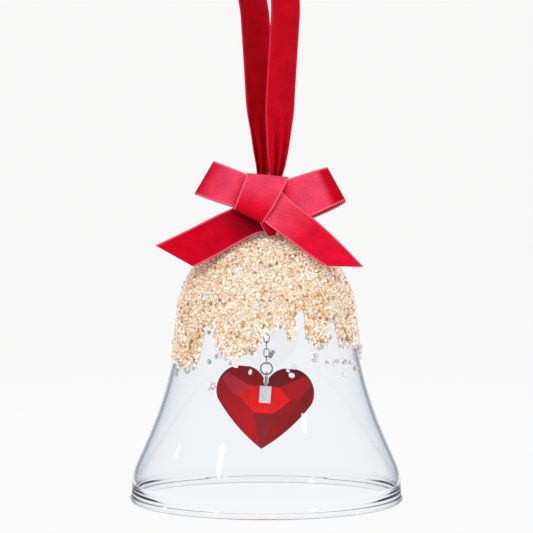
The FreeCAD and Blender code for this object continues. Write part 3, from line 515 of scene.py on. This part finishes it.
def crystalMaterial(name, clear, darkest):
    material, tree, shader = newMaterial(name, {
        "Roughness": 0.10, "IOR": 1.5, "Transmission Weight": clear, "Coat Weight": 0.6,
        "Coat Roughness": 0.04})
    tint = addNode(tree, "ShaderNodeAttribute", {"attribute_name": "tint"}).outputs["Color"]
    cloud = objectNoise(tree, 900.0, 1.0)
    shade = rampNode(tree, cloud, [(0.35, darkest), (0.62, (1, 1, 1, 1))])
    colour = mixColours(tree, 0.8, tint, shade, "MULTIPLY")
    tree.links.new(colour, shader.inputs["Base Color"])
    return material


def bedMaterial():
    material, tree, shader = newMaterial("champagne_bed", {"Roughness": 0.45, "Coat Weight": 0.3})
    grain = objectNoise(tree, 1400.0, 2.0)
    colour = rampNode(tree, grain, [(0.3, (0.42, 0.24, 0.11, 1)), (0.5, (0.80, 0.60, 0.38, 1)),
                                    (0.7, (0.95, 0.86, 0.72, 1))])
    tree.links.new(colour, shader.inputs["Base Color"])
    tree.links.new(bumpNode(tree, grain, 0.8, 0.0003), shader.inputs["Normal"])
    return material


crystal = crystalMaterial("champagne_crystal", 0.0, (0.72, 0.68, 0.66, 1))
strayCrystal = crystalMaterial("stray_crystal", 0.4, (0.9, 0.9, 0.92, 1))
crustBed = buildBed()
crustBed.data.materials.append(bedMaterial())
crustChips = buildChips()
crustChips.data.materials.append(crystal)
strays = buildStrays()
strays.data.materials.append(strayCrystal)
for piece in (crustBed, crustChips, strays):
    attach(piece, "bell")
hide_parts("crystal_crust")
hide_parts("scattered_crystals")
print("crust laid")


def silverMaterial(name, colour, roughness, metallic=1.0):
    material, tree, shader = newMaterial(name, {"Metallic": metallic, "Specular IOR Level": 0.6})
    cloud = objectNoise(tree, 420.0, 3.0)
    tone = rampNode(tree, cloud, [(0.3, tuple(0.82 * c for c in colour) + (1,)), (0.65, colour + (1,))])
    tree.links.new(tone, shader.inputs["Base Color"])
    worn = addNode(tree, "ShaderNodeMapRange", inputs={
        "Value": cloud, "From Min": 0.3, "From Max": 0.7, "To Min": roughness * 0.7,
        "To Max": roughness * 1.5}).outputs[0]
    tree.links.new(worn, shader.inputs["Roughness"])
    scratch = objectNoise(tree, 5200.0, 1.0)
    tree.links.new(bumpNode(tree, scratch, 0.12, 0.00005), shader.inputs["Normal"])
    return material


def rubberMaterial():
    material, tree, shader = newMaterial("clear_rubber", {
        "Roughness": 0.42, "IOR": 1.42, "Transmission Weight": 0.6})
    cloud = objectNoise(tree, 700.0, 2.0)
    colour = rampNode(tree, cloud, [(0.3, (0.78, 0.80, 0.82, 1)), (0.7, (0.93, 0.94, 0.95, 1))])
    tree.links.new(colour, shader.inputs["Base Color"])
    tree.links.new(bumpNode(tree, cloud, 0.3, 0.0001), shader.inputs["Normal"])
    return material


def finishNode(name, material):
    for slot in frame["nodes"][name].material_slots:
        slot.material = material


links = {"path": 48, "sides": 12, "wire share": 0.98}


# A link of round wire: the path is two straights joined by two half circles, in the plane that the
# link's box is wide in, and the wire is a round tube along it.
def buildLink(name, body, material):
    low, high = (np.array(corner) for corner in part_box(name))
    middle, size = (low + high) / 2, high - low
    wide, thin = (0, 1) if size[0] > size[1] else (1, 0)
    wire = size[thin] / 2
    bend = size[wide] / 2 - wire
    straight = size[2] / 2 - wire - bend
    turn = np.linspace(0, 2 * math.pi, links["path"], endpoint=False)
    path = np.zeros((links["path"], 3))
    path[:, wide] = bend * np.cos(turn)
    path[:, 2] = bend * np.sin(turn) + straight * np.clip(np.sin(turn) * 8, -1, 1)
    outward = np.zeros_like(path)
    outward[:, wide], outward[:, 2] = np.cos(turn), np.sin(turn)
    across = np.zeros_like(path)
    across[:, thin] = 1
    points = tubePoints(path + middle, outward, across, wire * links["wire share"], links["sides"])
    if wide == 0:
        points = points[:, ::-1]
    link = gridPiece(name + "_wire", points, wrapRows=True, wrapColumns=True)
    link.data.materials.append(material)
    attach(link, body)
    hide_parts(name)


silver = silverMaterial("polished_silver", (0.74, 0.75, 0.77), 0.16)
chainSilver = silverMaterial("chain_silver", (0.52, 0.54, 0.57), 0.20)
rubber = rubberMaterial()
for node in ("hanger_ring", "crown_cap", "hanger_eye", "inner_washer", "chain_eye"):
    finishNode(node, silver)
for node in ("heart_bail", "bail_pin"):
    finishNode(node, silverMaterial("brushed_" + node, (0.88, 0.89, 0.90), 0.3, 0.35))
finishNode("heart_ring", chainSilver)
for node in ("outer_gasket", "inner_gasket"):
    finishNode(node, rubber)
for body, members in frame["record"]["behaviour"]["bodies"].items():
    if body.startswith("link_"):
        buildLink(members[0], body, chainSilver)
print("fittings and chain done")


# Colours of the heart's faces: the side colour is the stone's own deep red. The table, left side, glow and
# lobe colours are painted light, and the lower and edge colours are painted shade.
ruby = {
    "table": (0.9, 0.002, 0.0), "lower": (0.27, 0.008, 0.012), "side": (0.31, 0.0, 0.0),
    "lit left side": (0.47, 0.0, 0.003), "glow": (0.56, 0.0, 0.002), "painted sparkle": (0.62, 0.022, 0.040),
    "edge": (0.11, 0.0, 0.004), "flat table": 0.985, "steep edge": 0.62, "merge": 0.002 * mm,
    "faces": {"painted sparkle": 137, "glow": 43, "lower": -90}, "within": 12,  # bearings in degrees
}


# The stone keeps its cut faces. Each face takes a colour from where its normal points, with light and shade
# painted in: a painted highlight on the table, painted shade on the faces below it, the stone's deep red at
# the sides, made lighter on the left by painted light, painted light on the upper right faces, a painted
# sparkle on one lobe, and painted shade, very dark, round the edge.
def buildHeart():
    source = frame["nodes"]["heart_crystal"].data
    points = np.empty(len(source.vertices) * 3)
    source.vertices.foreach_get("co", points)
    points = points.reshape(-1, 3)
    faces = np.array([p.vertices[:] for p in source.polygons])
    rounded = np.round(points / ruby["merge"]).astype(np.int64)
    key, index = np.unique(rounded, axis=0, return_inverse=True)
    merged = np.zeros((len(key), 3))
    np.add.at(merged, index.ravel(), points)
    merged /= np.bincount(index.ravel())[:, None]
    faces = index.ravel()[faces]
    faces = faces[(faces[:, 0] != faces[:, 1]) & (faces[:, 1] != faces[:, 2]) & (faces[:, 0] != faces[:, 2])]
    corner = merged[faces]
    normal = np.cross(corner[:, 1] - corner[:, 0], corner[:, 2] - corner[:, 0])
    normal /= np.linalg.norm(normal, axis=1)[:, None] + 1e-20
    centre = corner.mean(axis=1)
    flat = np.abs(normal[:, 1])
    bearing = np.degrees(np.arctan2(normal[:, 2], normal[:, 0]))
    tints = np.broadcast_to(np.array(ruby["side"]), (len(faces), 3)).copy()
    tints[centre[:, 0] < 0] = ruby["lit left side"]
    for tint, middle in ruby["faces"].items():
        tints[np.abs(bearing - middle) < ruby["within"]] = ruby[tint]
    tints[flat > ruby["flat table"]] = ruby["table"]
    tints[flat < ruby["steep edge"]] = ruby["edge"]
    heart = meshPiece("ruby_heart", merged, faces, smooth=False)
    # The tint of each face here is painted light and shade on the stone's red.
    layer = heart.data.attributes.new("tint", "FLOAT_COLOR", "CORNER")
    colour = np.repeat(np.concatenate([tints, np.ones((len(tints), 1))], 1), 3, axis=0)
    layer.data.foreach_set("color", colour.astype(np.float32).ravel())
    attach(heart, "heart")
    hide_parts("heart_crystal")
    return heart


def rubyMaterial():
    material, tree, shader = newMaterial("ruby_glass", {
        "Roughness": 0.3, "IOR": 1.5, "Specular IOR Level": 0.03})
    tint = addNode(tree, "ShaderNodeAttribute", {"attribute_name": "tint"}).outputs["Color"]
    place = addNode(tree, "ShaderNodeTexCoord").outputs["Object"]
    shards = addNode(tree, "ShaderNodeTexVoronoi", {"feature": "F1"}, {"Vector": place, "Scale": 330.0})
    depth = rampNode(tree, shards.outputs["Color"], [(0.25, (0.72, 0.6, 0.6, 1)), (0.8, (1.1, 1.0, 1.0, 1))])
    tree.links.new(mixColours(tree, 0.55, tint, depth, "MULTIPLY"), shader.inputs["Base Color"])
    return material


rubyHeart = buildHeart()
rubyHeart.data.materials.append(rubyMaterial())
print("heart cut")


satin = {
    "width": 10.0 * mm, "thickness": 0.26 * mm, "selvedge": 0.42, "ribs per mm": 3.2, "warps per mm": 5.3,
    "stitch": 0.52,
}


# Satin that reads the cloth's UV, in millimetres across and along: fine ribs across, a stitched selvedge at
# both edges, made paler by a painted highlight, a soft unevenness in colour, and a sheen. stops are the
# cloth's colours at distances along it, with painted light and painted shade in them.
def satinMaterial(name, stops, edge, sheen, roughness):
    material, tree, shader = newMaterial(name, {
        "Sheen Weight": sheen, "Sheen Roughness": 0.35, "Sheen Tint": (1.0, 0.25, 0.35, 1),
        "Specular IOR Level": 0.05, "Anisotropic": 0.6})
    uv = addNode(tree, "ShaderNodeUVMap", {"uv_map": "cloth"}).outputs[0]
    split = addNode(tree, "ShaderNodeSeparateXYZ", inputs={0: uv})
    across, along = split.outputs[0], split.outputs[1]
    fromMiddle = mathNode(tree, "ABSOLUTE", mathNode(tree, "SUBTRACT", across, satin["width"] / mm / 2))
    inner = satin["width"] / mm / 2 - satin["selvedge"]
    edgeMask = addNode(tree, "ShaderNodeMapRange", {"interpolation_type": "SMOOTHSTEP"}, {
        "Value": fromMiddle, "From Min": inner - 0.12, "From Max": inner + 0.12}).outputs[0]
    ribs = mathNode(tree, "SINE", mathNode(tree, "MULTIPLY", along, satin["ribs per mm"] * 2 * math.pi))
    warp = mathNode(tree, "SINE", mathNode(tree, "MULTIPLY", across, satin["warps per mm"] * 2 * math.pi))
    weave = mathNode(tree, "MULTIPLY", ribs, mathNode(tree, "MULTIPLY_ADD", warp, 0.4, 0.7))
    stitch = mathNode(tree, "SINE", mathNode(tree, "MULTIPLY", along, 2 * math.pi / satin["stitch"]))
    stitched = mathNode(tree, "MULTIPLY", edgeMask, mathNode(tree, "MULTIPLY_ADD", stitch, 0.35, 0.62))
    stretch = addNode(tree, "ShaderNodeMapping", inputs={"Vector": uv, "Scale": (6.5, 1.4, 1)}).outputs[0]
    fibre = addNode(tree, "ShaderNodeTexNoise", inputs={
        "Vector": stretch, "Scale": 1.0, "Detail": 3.0}).outputs["Fac"]
    blotch = addNode(tree, "ShaderNodeTexNoise", inputs={
        "Vector": uv, "Scale": 0.22, "Detail": 2.0}).outputs["Fac"]
    # The colour along the cloth: its red, with painted light and painted shade laid along it.
    reach = stops[-1][0] + 0.001
    position = mathNode(tree, "DIVIDE", along, reach)
    body = rampNode(tree, position, [(at / reach, colour + (1,)) for at, colour in stops])
    grain = rampNode(tree, fibre, [(0.3, (0.76, 0.76, 0.76, 1)), (0.7, (1.14, 1.14, 1.14, 1))])
    shade = rampNode(tree, blotch, [(0.35, (0.86, 0.86, 0.86, 1)), (0.65, (1.06, 1.06, 1.06, 1))])
    cloth = mixColours(tree, 1.0, mixColours(tree, 1.0, body, grain, "MULTIPLY"), shade, "MULTIPLY")
    # The selvedge takes the edge colour, which holds a painted highlight.
    tree.links.new(mixColours(tree, stitched, cloth, edge + (1,)), shader.inputs["Base Color"])
    rough = addNode(tree, "ShaderNodeMapRange", inputs={
        "Value": fibre, "From Min": 0.3, "From Max": 0.7, "To Min": roughness * 0.85,
        "To Max": roughness * 1.2}).outputs[0]
    tree.links.new(rough, shader.inputs["Roughness"])
    height = mathNode(tree, "ADD", mathNode(tree, "MULTIPLY", weave, 0.35),
                      mathNode(tree, "ADD", mathNode(tree, "MULTIPLY", fibre, 0.8),
                               mathNode(tree, "MULTIPLY", stitched, 0.9)))
    tree.links.new(bumpNode(tree, height, 0.35, 0.00006), shader.inputs["Normal"])
    return material


# Distance run along the middle column of a grid of points, in millimetres.
def runAlong(points):
    middle = points[:, points.shape[1] // 2]
    step = np.linalg.norm(np.diff(middle, axis=0), axis=1)
    return np.concatenate([[0], np.cumsum(step)]) / mm


def finishCloth(piece, node, flatLength):
    thick = piece.modifiers.new("thickness", "SOLIDIFY")
    thick.thickness = satin["thickness"]
    thick.offset = 0
    piece.data.materials.append(satinMaterial("satin_" + piece.name, *satins[piece.name]))
    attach(piece, "ribbon")
    if node:
        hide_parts(node)
    print(piece.name, "flat length", round(flatLength / mm, 1), "mm")


loop = {
    "rise": 61.05 * mm, "arch": 7.55 * mm, "wrap": 0.75 * mm, "turn": 40.0, "lean": 1.0 * mm,
    "gathered": 2.0 * mm, "opens over": 27 * mm, "turns over": 20 * mm, "side by side": 1.6 * mm,
    "pleats": 2.5, "pleat phase": 0.6, "away power": 1.25, "sideways power": 1.35,
    "parts over": 5 * mm, "straightens over": 12 * mm, "cup": 0.35 * mm, "wire radius": 0.35 * mm,
    "rows": 150, "columns": 41, "arch rows": 26,
}


# One strand, from the ring's wire up to the arch. Its middle moves out from the wire and sideways as
# powers of its height; its width opens smoothly from a pleated bundle to the whole ribbon; the pleats
# are waves across it whose depth makes up the width that the bundle lacks; and it turns about Z.
def strandPoints(side):
    up = np.linspace(0, loop["rise"], loop["rows"])
    share = up / loop["rise"]
    turn = math.radians(loop["turn"]) * ease(up / loop["turns over"])
    across = np.stack([np.cos(turn), np.sin(turn), 0 * turn], -1)
    out = np.stack([np.sin(turn), -np.cos(turn), 0 * turn], -1) * side
    away = loop["wrap"] + (loop["arch"] - loop["wrap"]) * share ** loop["away power"]
    apart = loop["arch"] * math.sin(math.radians(loop["turn"])) - loop["side by side"]
    sideways = loop["side by side"] + apart * share ** loop["sideways power"]
    sideways = sideways * ease(up / loop["parts over"])
    upright = ease((loop["rise"] - up) / loop["straightens over"])
    lean = loop["lean"] * ease(up / loop["turns over"] * 2) * upright
    middle = np.stack([lean + side * sideways, side * -np.cos(turn) * away, ringWire + up], -1)
    width = loop["gathered"] + (satin["width"] - loop["gathered"]) * ease(up / loop["opens over"])
    depth = np.sqrt(np.maximum(satin["width"] ** 2 - width ** 2, 0)) / (4 * loop["pleats"])
    u = np.linspace(-1, 1, loop["columns"])
    waves, phase = loop["pleats"] * math.pi, loop["pleat phase"]
    fold = np.sin(u * waves + phase) - u * math.sin(waves + phase) * 0.4
    cup = loop["cup"] * (1 - u ** 2)
    return (middle[:, None] + across[:, None] * (width[:, None] / 2 * u)[:, :, None]
            + out[:, None] * (depth[:, None] * fold + cup)[:, :, None])


# The whole ribbon of the loop as one closed band: up the near strand, over the arch as a half circle,
# down the far strand, and under the ring's wire.
def buildLoop():
    near = strandPoints(1)
    far = strandPoints(-1)[::-1]
    angle = np.linspace(0, math.pi, loop["arch rows"])[1:-1, None, None]
    arch = (near[-1] + far[0]) / 2 + (near[-1] - far[0]) / 2 * np.cos(angle)
    arch = arch + np.array([0, 0, 1]) * loop["arch"] * np.sin(angle)
    under = (near[0] + far[-1]) / 2 + (far[-1] - near[0]) / 2 * np.cos(angle[::3])
    under = under - np.array([0, 0, 1]) * loop["wrap"] * np.sin(angle[::3])
    points = np.concatenate([near, arch, far, under])
    along = np.concatenate([runAlong(points), [0]])
    along[-1] = along[-2] + loop["wrap"] / mm
    across = np.linspace(0, satin["width"] / mm, loop["columns"])
    piece = gridPiece("hanging_loop", points, wrapRows=True, across=across, along=along)
    finishCloth(piece, "hanging_ribbon", along[-1] * mm)


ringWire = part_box("hanger_ring")[1][2] - loop["wire radius"]
# Ribbon colours: the first is painted light, the second is the ribbon's own red, and the third and fourth
# are painted shade.
paintedLightRose = (0.78, 0.050, 0.105)
crimson = (0.66, 0.004, 0.026)
paintedShadeRed = (0.50, 0.0, 0.010)
shadow = (0.16, 0.0, 0.004)
# The stitched selvedge's colour: the real selvedge, paler with a painted highlight.
selvedgeHighlight = (0.80, 0.14, 0.20)
# Each piece's colours at millimetres along it, with painted light and painted shade, the colour of its
# edges, with a painted highlight, its sheen and its roughness.
satins = {
    "hanging_loop": ([(0, paintedShadeRed), (150, (0.50, 0.0, 0.004))], (0.62, 0.03, 0.07), 0.04, 0.42),
    "bow_left_tail": ([(0, shadow), (4, shadow), (11, paintedShadeRed), (26, (0.60, 0.0, 0.012))],
                      selvedgeHighlight, 0.08, 0.45),
    "bow_right_tail": ([(0, paintedLightRose), (6, paintedLightRose), (16, crimson), (30, (0.70, 0.004, 0.030))],
                       selvedgeHighlight, 0.12, 0.45),
    "bow_tuck": ([(0, paintedShadeRed), (18, shadow)], selvedgeHighlight, 0.08, 0.45),
    "bow_left_loop": ([(0, crimson), (5, paintedLightRose), (10, (0.70, 0.03, 0.07)), (13, paintedShadeRed), (26, shadow)],
                      selvedgeHighlight, 0.2, 0.5),
    "bow_right_loop": ([(0, crimson), (6, paintedLightRose), (12, paintedLightRose), (14, paintedShadeRed), (29, shadow)],
                       selvedgeHighlight, 0.2, 0.5),
    "bow_wrap": ([(0, paintedLightRose), (8, paintedLightRose), (14, crimson), (17, paintedShadeRed), (23, shadow)], selvedgeHighlight, 0.2, 0.5),
}
buildLoop()


bow = {
    "top line": 7.2 * mm, "stand off": 3.5 * mm, "tilt": 24.0, "rows per span": 14, "columns": 25,
    "thread": [(0.3, (0.30, 0.0, 0.01, 1)), (0.7, (0.5, 0.01, 0.03, 1))],
}

# Each strip of the bow by the two ends of lines across it: millimetres to the right, down from the
# bow's top line and forward of its plane, as the strip goes from the knot outwards and back.
strips = {
    "bow_left_loop": {
        "node": "bow_loop_left", "held": "folded", "crown": 0.25, "lines": [
            ((-3.0, 0.9, 2.0), (-6.2, 9.2, 2.0)), ((-7.0, -0.7, 2.5), (-10.6, 8.0, 2.6)),
            ((-10.8, -2.2, 2.7), (-15.2, 6.6, 2.8)), ((-13.5, -3.2, 2.1), (-18.5, 5.5, 2.2)),
            ((-14.1, -3.4, 1.4), (-19.2, 5.3, 1.4)), ((-13.4, -3.1, 0.7), (-18.4, 5.6, 0.7)),
            ((-10.0, -1.5, 0.5), (-14.6, 7.0, 0.5)), ((-3.0, 1.4, 0.8), (-7.0, 9.4, 0.8))]},
    "bow_right_loop": {
        "node": "bow_loop_right", "held": "folded", "crown": 0.25, "lines": [
            ((3.0, 2.2, 1.9), (3.6, 13.0, 1.6)), ((7.0, 0.9, 2.5), (10.2, 11.6, 2.2)),
            ((12.0, -0.7, 2.8), (15.8, 9.2, 2.7)), ((15.6, -1.7, 2.1), (20.1, 7.3, 2.1)),
            ((16.2, -1.8, 1.4), (21.0, 6.9, 1.4)), ((15.6, -1.2, 0.6), (20.6, 7.8, 0.6)),
            ((12.0, 0.4, 0.5), (16.6, 9.9, 0.4)), ((5.0, 2.6, 0.8), (10.0, 12.6, 0.5))]},
    "bow_right_tail": {
        "node": "bow_tail_right", "held": "hung", "crown": 0.3, "lines": [
            ((1.8, 2.0, 2.2), (-3.2, 10.2, 2.2)), ((4.5, 5.05, 2.9), (-0.4, 12.6, 2.7)),
            ((8.4, 8.5, 3.5), (2.7, 14.9, 3.2)), ((13.4, 12.3, 3.3), (7.2, 18.0, 3.0)),
            ((19.0, 17.4, 2.7), (11.8, 21.4, 2.6)), ((25.6, 24.1, 2.9), (15.8, 23.9, 2.8))]},
    "bow_left_tail": {
        "node": "bow_tail_left", "held": "hung", "crown": -0.2, "lines": [
            ((0.4, 15.2, 0.2), (-3.6, 6.8, 0.3)), ((-2.6, 15.7, 0.5), (-7.2, 8.2, 0.6)),
            ((-8.0, 18.4, 0.9), (-13.4, 10.9, 0.9)), ((-13.4, 21.4, 1.0), (-20.6, 14.5, 1.0)),
            ((-19.2, 24.3, 0.5), (-29.5, 18.7, 0.7))]},
    "bow_wrap": {
        "node": "bow_knot", "held": "folded", "crown": 0.35, "lines": [
            ((-4.6, 2.6, 0.5), (5.0, 4.0, 0.4)), ((-4.9, 0.3, 0.8), (5.6, 1.5, 0.6)),
            ((-5.3, -0.1, 1.9), (5.9, 1.0, 1.7)), ((-6.0, 2.0, 3.3), (4.6, 3.6, 3.6)),
            ((-7.2, 5.2, 3.9), (2.2, 8.0, 4.3)), ((-8.3, 8.2, 3.3), (-0.1, 11.4, 3.5)),
            ((-8.7, 9.2, 2.1), (-0.9, 12.9, 2.1)), ((-8.0, 8.6, 1.0), (-0.6, 12.2, 0.8)),
            ((-6.6, 6.4, 0.5), (1.2, 9.6, 0.4))]},
    "bow_tuck": {
        "node": None, "held": "folded", "crown": 0.3, "lines": [
            ((-2.6, 9.0, 1.4), (4.6, 7.0, 1.2)), ((-1.9, 12.4, 2.1), (3.8, 11.4, 2.0)),
            ((-0.4, 15.0, 1.9), (2.9, 14.4, 1.7)), ((0.6, 16.2, 0.9), (2.2, 15.9, 0.8)),
            ((-0.2, 14.4, 0.1), (2.6, 13.6, 0.1)), ((-1.6, 9.5, 0.0), (4.0, 7.8, 0.0))]},
}


# From across, down and forward in the bow's own terms to the frame: the bow's plane leans forward.
def bowPlace(points):
    across, down, forward = np.moveaxis(points * mm, -1, 0)
    y = -bow["stand off"] - down * math.tan(math.radians(bow["tilt"])) - forward
    return np.stack([across, y, ringWire + bow["top line"] - down], -1)


# A strip is ruled between its two edges, which run smoothly through the ends of its lines, and is
# crowned between them by a parabola. The tuck, which stands for no node, is built narrower than the
# ribbon.
def buildStrip(name):
    strip = strips[name]
    edges = throughKeys(strip["lines"], bow["rows per span"])
    u = np.linspace(0, 1, bow["columns"])[None, :, None]
    points = edges[:, :1] * (1 - u) + edges[:, 1:] * u
    points[..., 2] += strip["crown"] * (1 - (2 * u[..., 0] - 1) ** 2)
    points = bowPlace(points)
    along = runAlong(points)
    across = np.linspace(0, satin["width"] / mm, bow["columns"])
    piece = gridPiece(name, points, across=across, along=along)
    flatLength = along[-1] * mm
    finishCloth(piece, strip["node"], flatLength)


def threadMaterial():
    material, tree, shader = newMaterial("thread", {"Roughness": 0.7, "Sheen Weight": 0.4})
    colour = rampNode(tree, objectNoise(tree, 3000.0), bow["thread"])
    tree.links.new(colour, shader.inputs["Base Color"])
    return material


for name in strips:
    buildStrip(name)
finishNode("bow_stitches", threadMaterial())
print("bow tied")
